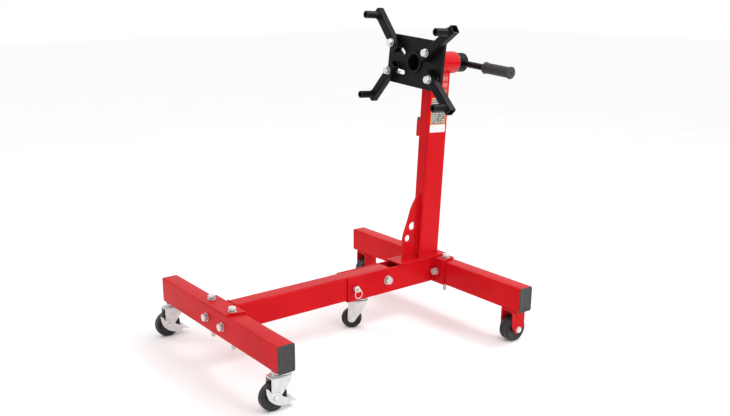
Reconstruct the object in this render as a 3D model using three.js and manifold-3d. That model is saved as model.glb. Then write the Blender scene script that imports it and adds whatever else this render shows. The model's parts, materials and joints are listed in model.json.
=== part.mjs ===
// Folding engine stand: T-shaped rolling base with a front leg that folds up, a leaning post,
// and a rotating head with a slotted mounting plate and four adjustable arms.
// Millimetres, +Z up, the mounting plate faces -Y, the floor is z = 0.
import * as THREE from 'three';
import { mergeVertices } from 'three/addons/utils/BufferGeometryUtils.js';
import Module from 'manifold-3d';

const wasm = await Module();
wasm.setup();

// ---------------------------------------------------------------- driving dimensions
const GAP = 0.3; // gap between pieces that touch
const CENTRE_Y = 428.74; // from the front face of the front crossbar to the middle of the stand

const TUBE_HEIGHT = 75; // crossbars and front beam, outside
const TUBE_DEPTH = 50;
const TUBE_WALL = 3;
const TUBE_CORNER = 5;
const BAR_UNDERSIDE = 100;
const FRONT_BAR_LENGTH = 642;
const REAR_BAR_LENGTH = 792;
const REAR_BAR_Y = 776; // front face of the rear crossbar
const CAP_FLANGE = 3.5;
const CAP_PLUG = 12;

const SADDLE_PLATE = 5; // angle brackets bolted to the crossbars
const SADDLE_HALF = 80;
const SADDLE_TIP_HALF = 69;
const SADDLE_BOLT_X = 57; // upright bolts
const WEB_BOLT_X = 44; // level bolts
const UPRIGHT_BOLT_LENGTH = 110;

const SLEEVE_HALF = 30; // open-topped channel that the front beam folds into
const SLEEVE_WALL = 3.8;
const SLEEVE_FLOOR = 4;
const SLEEVE_Y = 433;
const BEAM_TOP = 180;
const PIVOT_Y = 584;
const LOCK_Y = 457;
const TOP_PLATE_Y = 632;
const TOP_PLATE_HALF = 33;

const POST_WIDTH = 40;
const POST_DEPTH = 80;
const POST_FRONT_Y = 721; // front face of the post at its foot
const POST_LEAN = THREE.MathUtils.degToRad(3);
const GUSSET_THICKNESS = 6;

const HEAD_Z = 788; // head axis where it crosses the post's middle line
const HEAD_ROLL = THREE.MathUtils.degToRad(4);
const HOUSING_R = 33;
const HOUSING_FRONT = 80; // housing ends, from the post's middle line
const HOUSING_BACK = 66;
const HOUSING_BORE_R = 29.4;
const SPINDLE_R = 29;
const SPINDLE_BORE_R = 25;
const SPINDLE_BACK = 104;
const PLATE_WIDTH = 240;
const PLATE_HEIGHT = 144;
const PLATE_THICKNESS = 8;
const PLATE_FRONT = 92; // from the post's middle line to the plate's front face
const HANDLE_BACK = 87; // from the post's middle line back to the handle bar
const HANDLE_R = 9.6;
const HANDLE_END = 210;
const GRIP_START = 118;

const ARM_SIZE = 25;
const ARM_WALL = 2.5;
const ARM_REACH = 105; // slot bolt to boss
const ARM_TAIL = 28;
const ARM_TIP = 18;
const BOSS_R = 11;
const BOSS_BORE_R = 6.75;
const BOSS_FRONT = 73; // from the plate's front face to the boss's open end
// Slot bolt position on the plate (across, up) and arm direction in degrees from +X towards +Z.
const ARMS = [
  { name: 'upper_left', x: -86, z: 47, angle: 135.7 },
  { name: 'upper_right', x: 72, z: 36.5, angle: 39.5 },
  { name: 'lower_left', x: -88.7, z: -36.5, angle: 232.3 },
  { name: 'lower_right', x: 95.6, z: -36.5, angle: -39.4 },
];

const FRONT_CASTER = { x: 295, wheelR: 37.5, wheelWidth: 24, trail: 28 };
const MID_CASTER = { y: 498, wheelR: 31, wheelWidth: 22, trail: 24, turn: THREE.MathUtils.degToRad(-37) };
const REAR_WHEEL = { x: 349, wheelR: 38, wheelWidth: 36 };

// ---------------------------------------------------------------- materials
const paint = (color, roughness, metalness) => new THREE.MeshStandardMaterial({ color, roughness, metalness });
const RED = paint(0xc8141e, 0.35, 0.1);
const BLACK_PAINT = paint(0x1b191c, 0.4, 0.3);
const BLACK_PLASTIC = paint(0x2a2a2c, 0.6, 0);
const WHEEL_BLACK = paint(0x242226, 0.65, 0);
const RUBBER = paint(0x1c1c1e, 0.85, 0);
const ZINC = paint(0xc9c9c6, 0.3, 0.9);

// ---------------------------------------------------------------- geometry helpers
// A closed three.js geometry as a solid that can be cut and joined.
function solid(geometry) {
  const bare = geometry.index ? geometry.clone() : geometry;
  bare.deleteAttribute('normal');
  bare.deleteAttribute('uv');
  const merged = mergeVertices(bare, 1e-4);
  const position = merged.getAttribute('position');
  const triangles = [];
  for (let i = 0; i < merged.index.count; i += 3) {
    const [a, b, c] = [0, 1, 2].map((k) => merged.index.getX(i + k));
    if (a !== b && b !== c && c !== a) triangles.push(a, b, c);
  }
  return new wasm.Manifold(new wasm.Mesh({
    numProp: 3,
    vertProperties: Float32Array.from(position.array),
    triVerts: Uint32Array.from(triangles),
  }));
}

// A finished solid as a three.js geometry.
function geometryOf(piece) {
  const mesh = piece.getMesh();
  const geometry = new THREE.BufferGeometry();
  geometry.setAttribute('position', new THREE.BufferAttribute(Float32Array.from(mesh.vertProperties), 3));
  geometry.setIndex(new THREE.BufferAttribute(Uint32Array.from(mesh.triVerts), 1));
  geometry.computeVertexNormals();
  return geometry;
}

const join = (first, ...rest) => rest.reduce((whole, piece) => whole.add(piece), first);
const cut = (first, ...rest) => rest.reduce((whole, piece) => whole.subtract(piece), first);

const ALONG = {
  x: new THREE.Matrix4().makeBasis(
    new THREE.Vector3(0, 1, 0), new THREE.Vector3(0, 0, 1), new THREE.Vector3(1, 0, 0)),
  y: new THREE.Matrix4().makeBasis(
    new THREE.Vector3(1, 0, 0), new THREE.Vector3(0, 0, 1), new THREE.Vector3(0, -1, 0)),
  z: new THREE.Matrix4(),
};

// An outline pushed along one axis from lo to hi. Outline axes: (y, z) for x, (x, z) for y, (x, y) for z.
function prismGeometry(shape, axis, lo, hi, curveSegments = 8) {
  const geometry = new THREE.ExtrudeGeometry(shape, { depth: hi - lo, bevelEnabled: false, curveSegments });
  geometry.applyMatrix4(ALONG[axis]);
  const shift = axis === 'y' ? hi : lo;
  return geometry.translate(axis === 'x' ? shift : 0, axis === 'y' ? shift : 0, axis === 'z' ? shift : 0);
}
const prism = (...args) => solid(prismGeometry(...args));

const outline = (points) => new THREE.Shape(points.map(([u, v]) => new THREE.Vector2(u, v)));

// A rectangle about (u, v) with rounded corners of two short edges each.
function roundedRect(width, height, radius, u = 0, v = 0, steps = 2) {
  const points = [];
  const corners = [[1, 1, 0], [-1, 1, 90], [-1, -1, 180], [1, -1, 270]];
  for (const [su, sv, start] of corners) {
    for (let i = 0; i <= steps; i += 1) {
      const angle = THREE.MathUtils.degToRad(start + (90 * i) / steps);
      points.push([
        u + su * (width / 2 - radius) + radius * Math.cos(angle),
        v + sv * (height / 2 - radius) + radius * Math.sin(angle),
      ]);
    }
  }
  return outline(points);
}

// A regular polygon about (u, v); 24 sides or so stand for a circle.
function ngon(radius, sides, u = 0, v = 0, phase = 0) {
  return outline(Array.from({ length: sides }, (_, i) => {
    const angle = phase + (2 * Math.PI * i) / sides;
    return [u + radius * Math.cos(angle), v + radius * Math.sin(angle)];
  }));
}
const rod = (radius, axis, lo, hi, u = 0, v = 0, sides = 24) => prism(ngon(radius, sides, u, v), axis, lo, hi);

function block(x0, x1, y0, y1, z0, z1) {
  const geometry = new THREE.BoxGeometry(x1 - x0, y1 - y0, z1 - z0);
  return solid(geometry.translate((x0 + x1) / 2, (y0 + y1) / 2, (z0 + z1) / 2));
}

// A closed profile of (radius, height), listed either way round, turned about one axis.
function turned(profile, axis, segments = 24) {
  const points = profile.map(([r, h]) => new THREE.Vector2(r, h));
  if (THREE.ShapeUtils.area(points) < 0) points.reverse();
  const geometry = new THREE.LatheGeometry([...points, points[0].clone()], segments);
  if (axis === 'x') geometry.rotateZ(-Math.PI / 2);
  if (axis === 'z') geometry.rotateX(Math.PI / 2);
  return solid(geometry);
}

// Hollow rectangular tube along one axis, open at both ends.
function boxTube(width, height, wall, corner, axis, lo, hi, u = 0, v = 0) {
  const outer = prism(roundedRect(width, height, corner, u, v), axis, lo, hi);
  const inner = roundedRect(width - 2 * wall, height - 2 * wall, corner - wall, u, v);
  return cut(outer, prism(inner, axis, lo - 1, hi + 1));
}

// ---------------------------------------------------------------- fasteners
// Hex bolt through a stack of the given grip: its head side faces +Z at z = 0, its nut lies below -grip.
// A flat washer and a smaller spring washer lie under the head, and the shank ends at -length.
function hexBolt(grip, length = grip + 16, shankR = 6, headR = 10.97, washerR = 12) {
  const head = prism(ngon(headR, 6, 0, 0, 0.26), 'z', GAP + 4, GAP + 11.7);
  const washer = rod(washerR, 'z', GAP, GAP + 2, 0, 0, 16);
  const spring = rod(headR - 1.8, 'z', GAP + 1, GAP + 5, 0, 0, 12);
  const shank = rod(shankR, 'z', -length, GAP + 3, 0, 0, 10);
  const nut = prism(ngon(headR, 6, 0, 0, 0.1), 'z', -grip - GAP - 11, -grip - GAP);
  return join(head, washer, spring, shank, nut);
}

// ---------------------------------------------------------------- scene graph
const stand = new THREE.Group();
stand.name = 'engine_stand';
stand.position.y = -CENTRE_Y;

function place(parent, name, piece, material, position = [0, 0, 0], rotation = [0, 0, 0]) {
  const mesh = new THREE.Mesh(geometryOf(piece), material);
  mesh.name = name;
  mesh.position.set(...position);
  mesh.rotation.set(...rotation);
  parent.add(mesh);
  return mesh;
}

function group(parent, position = [0, 0, 0], rotation = [0, 0, 0], order = 'XYZ') {
  const item = new THREE.Group();
  item.position.set(...position);
  item.rotation.set(...rotation, order);
  parent.add(item);
  return item;
}

const SIDES = [['left', -1], ['right', 1]];
const BAR_MIDDLE_Z = BAR_UNDERSIDE + TUBE_HEIGHT / 2;
const FLANGE_TOP = BAR_UNDERSIDE + TUBE_HEIGHT + GAP + SADDLE_PLATE;
const SADDLE_DEPTH = SADDLE_PLATE + GAP + TUBE_DEPTH;
const PIVOT_Z = BEAM_TOP - TUBE_HEIGHT / 2;

// ---------------------------------------------------------------- crossbars, caps and saddles
function crossbar(length) {
  const half = length / 2 - CAP_FLANGE - GAP;
  const tube = boxTube(TUBE_DEPTH, TUBE_HEIGHT, TUBE_WALL, TUBE_CORNER, 'x', -half, half);
  const holes = SIDES.flatMap(([, side]) => [
    rod(6.5, 'z', -TUBE_HEIGHT, TUBE_HEIGHT, side * SADDLE_BOLT_X, 0, 12),
    rod(6.5, 'y', -TUBE_DEPTH, TUBE_DEPTH, side * WEB_BOLT_X, 0, 12),
  ]);
  return cut(tube, ...holes);
}

function endCap() {
  const flange = prism(roundedRect(TUBE_DEPTH - 0.6, TUBE_HEIGHT - 0.6, TUBE_CORNER), 'x', 0, CAP_FLANGE);
  const plug = [TUBE_DEPTH - 2 * TUBE_WALL - 0.8, TUBE_HEIGHT - 2 * TUBE_WALL - 0.8];
  const skirt = boxTube(plug[0], plug[1], 3, 3.5, 'x', -CAP_PLUG, 0.5);
  return join(flange, skirt);
}

function saddle() {
  const [lo, hi] = [BAR_UNDERSIDE, FLANGE_TOP];
  const section = outline([
    [0, lo], [SADDLE_PLATE, lo], [SADDLE_PLATE, hi - SADDLE_PLATE], [SADDLE_DEPTH, hi - SADDLE_PLATE],
    [SADDLE_DEPTH, hi], [0, hi],
  ]);
  const plan = outline([
    [-SADDLE_HALF, -1], [SADDLE_HALF, -1], [SADDLE_HALF, SADDLE_PLATE + 2],
    [SADDLE_TIP_HALF, SADDLE_DEPTH + 1], [-SADDLE_TIP_HALF, SADDLE_DEPTH + 1], [-SADDLE_HALF, SADDLE_PLATE + 2],
  ]);
  const bent = prism(section, 'x', -SADDLE_HALF, SADDLE_HALF).intersect(prism(plan, 'z', lo - 1, hi + 1));
  const boltY = SADDLE_PLATE + GAP + TUBE_DEPTH / 2;
  const holes = SIDES.flatMap(([, side]) => [
    rod(6.5, 'z', lo - 1, hi + 1, side * SADDLE_BOLT_X, boltY, 12),
    rod(6.5, 'y', -1, SADDLE_PLATE + 1, side * WEB_BOLT_X, BAR_MIDDLE_Z, 12),
  ]);
  return cut(bent, ...holes);
}

const uprightBolt = hexBolt(FLANGE_TOP - BAR_UNDERSIDE, UPRIGHT_BOLT_LENGTH);
const levelBolt = hexBolt(SADDLE_DEPTH);

function barAssembly(parent, end, length, faceY) {
  const facing = end === 'front' ? -1 : 1;
  const barY = faceY + TUBE_DEPTH / 2;
  const webY = barY - facing * (TUBE_DEPTH / 2 + GAP + SADDLE_PLATE);
  place(parent, `${end}_crossbar`, crossbar(length), RED, [0, barY, BAR_MIDDLE_Z]);
  place(parent, `${end}_saddle`, saddle(), RED, [0, webY, 0], [0, 0, facing < 0 ? Math.PI : 0]);
  for (const [label, side] of SIDES) {
    const capX = side * (length / 2 - CAP_FLANGE);
    place(parent, `${end}_cap_${label}`, endCap(), BLACK_PLASTIC, [capX, barY, BAR_MIDDLE_Z],
      [0, 0, side > 0 ? 0 : Math.PI]);
    place(parent, `${end}_upright_bolt_${label}`, uprightBolt, ZINC,
      [side * SADDLE_BOLT_X, barY, FLANGE_TOP], [0, 0, 0.4 * side]);
    const headY = end === 'front' ? faceY : webY;
    place(parent, `${end}_level_bolt_${label}`, levelBolt, ZINC,
      [side * WEB_BOLT_X, headY, BAR_MIDDLE_Z], [Math.PI / 2, 0, 0]);
  }
}

// ---------------------------------------------------------------- front leg
const frontLeg = group(stand);
barAssembly(frontLeg, 'front', FRONT_BAR_LENGTH, 0);

function frontBeam() {
  const start = TUBE_DEPTH + GAP + SADDLE_PLATE + GAP;
  const end = PIVOT_Y + TUBE_HEIGHT / 2;
  const tube = boxTube(TUBE_DEPTH, TUBE_HEIGHT, TUBE_WALL, TUBE_CORNER, 'y', start, end, 0, PIVOT_Z);
  const side = new THREE.Shape();
  side.moveTo(start - 1, PIVOT_Z - TUBE_HEIGHT / 2);
  side.lineTo(PIVOT_Y, PIVOT_Z - TUBE_HEIGHT / 2);
  side.absarc(PIVOT_Y, PIVOT_Z, TUBE_HEIGHT / 2, -Math.PI / 2, Math.PI / 2, false);
  side.lineTo(start - 1, PIVOT_Z + TUBE_HEIGHT / 2);
  const rounded = tube.intersect(prism(side, 'x', -TUBE_DEPTH, TUBE_DEPTH, 14));
  return cut(rounded,
    rod(7, 'x', -TUBE_DEPTH, TUBE_DEPTH, PIVOT_Y, PIVOT_Z, 20),
    rod(6.5, 'x', 0, TUBE_DEPTH, LOCK_Y, PIVOT_Z, 20));
}
place(frontLeg, 'front_beam', frontBeam(), RED);

// ---------------------------------------------------------------- rear frame
const frame = group(stand);
barAssembly(frame, 'rear', REAR_BAR_LENGTH, REAR_BAR_Y);

function sleeve() {
  const [lo, hi] = [BEAM_TOP - TUBE_HEIGHT - 0.5 - SLEEVE_FLOOR, BEAM_TOP];
  const inner = SLEEVE_HALF - SLEEVE_WALL;
  const section = outline([
    [-SLEEVE_HALF, hi], [-SLEEVE_HALF, lo + 3], [-SLEEVE_HALF + 3, lo], [SLEEVE_HALF - 3, lo],
    [SLEEVE_HALF, lo + 3], [SLEEVE_HALF, hi], [inner, hi], [inner, lo + SLEEVE_FLOOR],
    [-inner, lo + SLEEVE_FLOOR], [-inner, hi],
  ]);
  const channel = prism(section, 'y', SLEEVE_Y, REAR_BAR_Y - SADDLE_PLATE - 2 * GAP);
  return cut(channel,
    rod(7, 'x', -SLEEVE_HALF - 1, SLEEVE_HALF + 1, PIVOT_Y, PIVOT_Z, 20),
    rod(6.4, 'x', 0, SLEEVE_HALF + 1, LOCK_Y, PIVOT_Z, 20));
}
place(frame, 'sleeve_channel', sleeve(), RED);

const PLATE_TOP = FLANGE_TOP + GAP + SADDLE_PLATE;
place(frame, 'top_plate', block(-TOP_PLATE_HALF, TOP_PLATE_HALF, TOP_PLATE_Y, REAR_BAR_Y + TUBE_DEPTH,
  FLANGE_TOP + GAP, PLATE_TOP), RED);
const FOOT_Z = PLATE_TOP + GAP;

place(frame, 'pivot_bolt', hexBolt(2 * SLEEVE_HALF, 2 * SLEEVE_HALF + 16, 6.7, 12.5, 14), ZINC,
  [SLEEVE_HALF, PIVOT_Y, PIVOT_Z], [0, Math.PI / 2, 0]);

// The head's frame: origin where the head axis crosses the post's middle line, leaning with the post.
const HEAD_Y = POST_FRONT_Y + POST_DEPTH / 2 / Math.cos(POST_LEAN) + (HEAD_Z - FOOT_Z) * Math.tan(POST_LEAN);
const leaning = new THREE.Matrix4().makeRotationX(-POST_LEAN).setPosition(0, HEAD_Y, HEAD_Z);

function leaned(geometry) {
  return solid(geometry.applyMatrix4(leaning));
}

function post() {
  const wall = TUBE_WALL;
  const outer = roundedRect(POST_WIDTH, POST_DEPTH, TUBE_CORNER);
  const inner = roundedRect(POST_WIDTH - 2 * wall, POST_DEPTH - 2 * wall, TUBE_CORNER - wall);
  const bar = cut(leaned(prismGeometry(outer, 'z', -660, 0)), leaned(prismGeometry(inner, 'z', -670, 10)));
  const cope = leaned(prismGeometry(ngon(HOUSING_R + 2 * GAP, 32), 'y', -POST_DEPTH, POST_DEPTH));
  return cut(bar, cope, block(-60, 60, 500, 1000, 0, FOOT_Z));
}
place(frame, 'post', post(), RED);

function gusset() {
  const rear = (z) => POST_FRONT_Y - GAP + (z - FOOT_Z) * Math.tan(POST_LEAN);
  const plate = prism(outline([
    [666, FOOT_Z], [rear(FOOT_Z), FOOT_Z], [rear(392), 392], [rear(392) - 3, 390], [714, 371], [702, 352],
    [694, 332], [686, 308], [677, 286], [669, 264], [666, 250],
  ]), 'x', -GUSSET_THICKNESS / 2, GUSSET_THICKNESS / 2);
  const half = GUSSET_THICKNESS;
  return cut(plate,
    rod(12.5, 'x', -half, half, 704, 288, 24),
    rod(10.5, 'x', -half, half, 686, 251, 24),
    prism(roundedRect(6, 14, 2.9, 710, 237), 'x', -half, half));
}
place(frame, 'gusset', gusset(), RED);

const head = group(frame, [0, HEAD_Y, HEAD_Z], [-POST_LEAN, 0, 0]);

function housing() {
  const bore = rod(HOUSING_BORE_R, 'y', -200, 200, 0, 0, 32);
  return cut(rod(HOUSING_R, 'y', -HOUSING_FRONT, HOUSING_BACK, 0, 0, 32), bore);
}
place(head, 'head_housing', housing(), RED);

// Small square holder on the left side of the post, with a plug in its top.
const HOLDER = { x: -POST_WIDTH / 2 - GAP, y: -22, z: -202, width: 18, depth: 26, height: 48 };
function holder() {
  const middle = HOLDER.x - HOLDER.width / 2;
  return boxTube(HOLDER.width, HOLDER.depth, 2.5, 3, 'z', HOLDER.z - HOLDER.height / 2,
    HOLDER.z + HOLDER.height / 2, middle, HOLDER.y);
}
place(head, 'side_holder', holder(), RED);

function holderPlug() {
  const top = HOLDER.z + HOLDER.height / 2;
  const middle = HOLDER.x - HOLDER.width / 2;
  const shank = roundedRect(HOLDER.width - 5.8, HOLDER.depth - 5.8, 1.5, middle, HOLDER.y);
  const cap = roundedRect(HOLDER.width - 1, HOLDER.depth - 1, 3, middle, HOLDER.y);
  return join(prism(shank, 'z', top - 14, top + 5), prism(cap, 'z', top + GAP, top + 10));
}
place(head, 'side_holder_plug', holderPlug(), BLACK_PLASTIC);

// ---------------------------------------------------------------- lock pin
const lockPin = group(stand, [0, LOCK_Y, PIVOT_Z]);
function pin() {
  const tip = TUBE_DEPTH / 2 + 0.6;
  const body = turned([
    [0, tip], [5, tip], [6, tip + 1], [6, 40], [10, 40.4], [10, 43.4], [5.5, 44], [5.5, 53], [4, 54.5], [0, 54.5],
  ], 'x', 20);
  return cut(body, rod(3, 'y', -12, 12, 49, 0, 12));
}
place(lockPin, 'lock_pin', pin(), ZINC);

function ring() {
  return solid(new THREE.TorusGeometry(13, 1.4, 6, 20).rotateY(Math.PI / 2).translate(49, 0, -13));
}
place(lockPin, 'lock_pin_ring', ring(), ZINC);

// ---------------------------------------------------------------- casters
// A swivel caster in its own frame: kingpin on the Z axis, wheel trailing towards -Y, floor at z = 0.
const MOUNT_Z = BAR_UNDERSIDE - GAP;
const CROWN_TOP = MOUNT_Z - 9.3;

function casterMount() {
  return turned([
    [0, MOUNT_Z], [26, MOUNT_Z], [26, MOUNT_Z - 3], [22, MOUNT_Z - 3], [22, MOUNT_Z - 6], [25, MOUNT_Z - 6],
    [25, CROWN_TOP + GAP], [6.5, CROWN_TOP + GAP], [6.5, CROWN_TOP - 3 - GAP], [10, CROWN_TOP - 3 - GAP],
    [10, CROWN_TOP - 7], [0, CROWN_TOP - 7],
  ], 'z', 24);
}

function casterFork({ wheelR, wheelWidth, trail }) {
  const inner = wheelWidth / 2 + 0.8;
  const outer = inner + 2.5;
  const eye = 12;
  const side = new THREE.Shape();
  side.moveTo(23, CROWN_TOP);
  side.lineTo(-trail - eye + 2, CROWN_TOP);
  side.lineTo(-trail - eye, wheelR);
  side.absarc(-trail, wheelR, eye, Math.PI, -0.5, false);
  side.lineTo(16, CROWN_TOP - 20);
  const leg = prismGeometry(side, 'x', inner, outer, 5);
  const mirrored = prismGeometry(side, 'x', -outer, -inner, 5);
  const plan = outline([
    [-outer, -trail - 22], [outer, -trail - 22], [outer + 2, -trail - 4], [outer, 18], [outer - 6, 24],
    [-outer + 6, 24], [-outer, 18], [-outer - 2, -trail - 4],
  ]);
  const disc = rod(26, 'z', CROWN_TOP - 3, CROWN_TOP, 0, 0, 24);
  const crown = join(prism(plan, 'z', CROWN_TOP - 3, CROWN_TOP), disc);
  return cut(join(crown, solid(leg), solid(mirrored)),
    rod(6.9, 'z', 60, 100, 0, 0, 16),
    rod(4.7, 'x', -40, 40, -trail, wheelR, 12));
}

function wheel(radius, width, bore, hub) {
  const half = width / 2;
  return turned([
    [bore, -half], [hub, -half], [radius * 0.7, -half + 3], [radius - 4, -half + 0.6],
    [radius - 0.5, -half + 4], [radius, 0], [radius - 0.5, half - 4],
    [radius - 4, half - 0.6], [radius * 0.7, half - 3], [hub, half], [bore, half],
  ], 'x', 28);
}

// Axle: a plain shank between two low heads, along X about the origin.
function axle(halfGrip, shankR, headR) {
  const [near, far] = [halfGrip + GAP, halfGrip + GAP + 5];
  return turned([[0, -far], [headR, -far], [headR, -near], [shankR, -near], [shankR, near], [headR, near],
    [headR, far], [0, far]], 'x', 12);
}

// Brake lever: two curved side plates outside the fork, joined by the foot pedal behind the wheel.
// The right plate has a pointed horn in front.
function brakeLever(forkHalf) {
  const below = [[-19, -1], [-5, -14.5], [9, -22], [20, -25.5], [33, -25], [47, -20], [60, -24.5]];
  const above = [[61, -21.5], [47, -13], [34, -8], [20, 0], [12, 10], [0, 14]];
  const horn = [[-12, 16], [-18, 26], [-27, 33], [-26, 14]];
  const blunt = [[-12, 16], [-22, 18], [-24, 10]];
  const plates = SIDES.map(([, s]) => {
    const [a, b] = [s * (forkHalf + GAP), s * (forkHalf + GAP + 2)];
    const side = outline([...below, ...above, ...(s > 0 ? horn : blunt)]);
    return prism(side, 'x', Math.min(a, b), Math.max(a, b));
  });
  const pedal = outline([[43, -21.3], [47, -19.6], [60, -24.2], [61, -21.5], [47, -16.8], [43, -18.5]]);
  const bridge = prism(pedal, 'x', -forkHalf - GAP - 1, forkHalf + GAP + 1);
  return cut(join(...plates, bridge), rod(4.7, 'x', -40, 40, 0, 0, 12));
}

function caster(parent, name, spec, position, turn, braked) {
  const own = group(parent, position, [0, 0, turn]);
  const forkHalf = spec.wheelWidth / 2 + 0.8 + 2.5;
  const hub = [0, -spec.trail, spec.wheelR];
  place(own, `${name}_mount`, casterMount(), ZINC);
  place(own, `${name}_fork`, casterFork(spec), ZINC);
  place(own, `${name}_wheel`, wheel(spec.wheelR, spec.wheelWidth, 4.6, 11), WHEEL_BLACK, hub);
  place(own, `${name}_axle`, axle(forkHalf + (braked ? GAP + 2 : 0), 4.3, 7.5), ZINC, hub);
  if (braked) place(own, `${name}_brake`, brakeLever(forkHalf), ZINC, hub);
}

for (const [label, side] of SIDES) {
  caster(frontLeg, `front_caster_${label}`, FRONT_CASTER, [side * FRONT_CASTER.x, TUBE_DEPTH / 2, 0], 0, true);
}
caster(frame, 'mid_caster', MID_CASTER, [0, MID_CASTER.y, 0], MID_CASTER.turn, false);

// ---------------------------------------------------------------- rear wheels in fixed brackets
function wheelBracket() {
  const inner = REAR_WHEEL.wheelWidth / 2 + 2;
  const outer = inner + 4;
  const half = TUBE_DEPTH / 2;
  const top = BAR_UNDERSIDE - GAP;
  const side = outline([
    [-half, top], [-half, 50], [-9, 26], [9, 26], [half, 50], [half, top],
  ]);
  const legs = [prism(side, 'x', inner, outer), prism(side, 'x', -outer, -inner)];
  return cut(join(...legs, block(-outer, outer, -half, half, top - 4, top)),
    rod(6.4, 'x', -60, 60, 0, REAR_WHEEL.wheelR, 20));
}

for (const [label, side] of SIDES) {
  const at = [side * REAR_WHEEL.x, REAR_BAR_Y + TUBE_DEPTH / 2, 0];
  const hub = [at[0], at[1], REAR_WHEEL.wheelR];
  place(frame, `rear_bracket_${label}`, wheelBracket(), RED, at);
  const roller = wheel(REAR_WHEEL.wheelR, REAR_WHEEL.wheelWidth, 6.4, 14);
  place(frame, `rear_wheel_${label}`, roller, WHEEL_BLACK, hub);
  place(frame, `rear_axle_${label}`, axle(REAR_WHEEL.wheelWidth / 2 + 6, 6, 9.5), ZINC, hub);
}

// ---------------------------------------------------------------- rotating head
const rotor = group(head, [0, 0, 0], [0, HEAD_ROLL, 0]);

function spindle() {
  const tube = rod(SPINDLE_R, 'y', -PLATE_FRONT - 5, SPINDLE_BACK, 0, 0, 32);
  const [rear, front] = [-PLATE_FRONT - GAP, -PLATE_FRONT - 4.7];
  const collar = turned([[20, rear], [33, rear], [31.2, front], [20, front]], 'y', 32);
  const bore = rod(SPINDLE_BORE_R, 'y', -200, 200, 0, 0, 32);
  return cut(join(tube, collar), bore, rod(HANDLE_R + 0.4, 'x', -60, 60, HANDLE_BACK, 0, 28));
}
place(rotor, 'head_spindle', spindle(), BLACK_PAINT);

// The upper slots slope towards the bore, the lower ones are level.
function slotCutter(x0, z0, x1, z1, halfWidth) {
  const angle = Math.atan2(z1 - z0, x1 - x0);
  const shape = new THREE.Shape();
  shape.absarc(x0, z0, halfWidth, angle + Math.PI / 2, angle + Math.PI * 1.5, false);
  shape.absarc(x1, z1, halfWidth, angle - Math.PI / 2, angle + Math.PI / 2, false);
  return prism(shape, 'y', -PLATE_FRONT - 5, -PLATE_FRONT + PLATE_THICKNESS + 5, 6);
}

function mountingPlate() {
  const face = roundedRect(PLATE_WIDTH, PLATE_HEIGHT, 4);
  const slab = prism(face, 'y', -PLATE_FRONT, -PLATE_FRONT + PLATE_THICKNESS);
  const slots = SIDES.flatMap(([, side]) => [
    slotCutter(side * 52, 21.3, side * 100, 57.8, 6.9),
    slotCutter(side * 46, -36.5, side * 106, -36.5, 6.9),
  ]);
  return cut(slab, ...slots, rod(SPINDLE_R + GAP, 'y', -200, 200, 0, 0, 32));
}
place(rotor, 'mounting_plate', mountingPlate(), BLACK_PAINT);

const handleBar = turned([
  [0, -45], [HANDLE_R - 1.5, -45], [HANDLE_R, -43.5], [HANDLE_R, HANDLE_END], [0, HANDLE_END],
], 'x', 20);
place(rotor, 'handle_bar', handleBar, BLACK_PAINT, [0, HANDLE_BACK, 0]);

function grip() {
  const end = HANDLE_END + 12;
  return turned([
    [HANDLE_R + GAP, GRIP_START], [18, GRIP_START], [18, GRIP_START + 3.5], [16.4, GRIP_START + 5],
    [16.4, end - 7], [18, end - 5.5], [18, end], [3, end], [3, end - 4], [0, end - 4],
    [0, HANDLE_END + GAP], [HANDLE_R + GAP, HANDLE_END + GAP],
  ], 'x', 20);
}
place(rotor, 'handle_grip', grip(), RUBBER, [0, HANDLE_BACK, 0]);

function arm() {
  const back = -PLATE_FRONT - GAP;
  const middle = back - ARM_SIZE / 2;
  const tube = boxTube(ARM_SIZE, ARM_SIZE, ARM_WALL, 3.2, 'x', -ARM_TAIL, ARM_REACH + ARM_TIP, middle, 0);
  const boss = rod(BOSS_R, 'y', -PLATE_FRONT - BOSS_FRONT, back - ARM_SIZE + 1, ARM_REACH, 0, 16);
  return cut(join(tube, boss),
    rod(BOSS_BORE_R, 'y', -PLATE_FRONT - BOSS_FRONT - 1, middle, ARM_REACH, 0, 12),
    rod(6.6, 'y', -200, 0, 0, 0, 12));
}

const slotBolt = hexBolt(ARM_SIZE + GAP + PLATE_THICKNESS);
for (const { name, x, z, angle } of ARMS) {
  place(rotor, `arm_bolt_${name}`, slotBolt, ZINC, [x, -PLATE_FRONT - GAP - ARM_SIZE, z], [Math.PI / 2, 0, 0]);
  place(rotor, `arm_${name}`, arm(), BLACK_PAINT, [x, 0, z], [0, -THREE.MathUtils.degToRad(angle), 0]);
}

export default stand;
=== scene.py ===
"""Looks of the folding engine stand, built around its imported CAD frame. Shapes are in millimetres inside
local frames taken from the frame's joints and boxes; every finished mesh is in metres in the row frame."""
import json
import math

import bmesh
import bpy
from mathutils import Matrix, Vector


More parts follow.
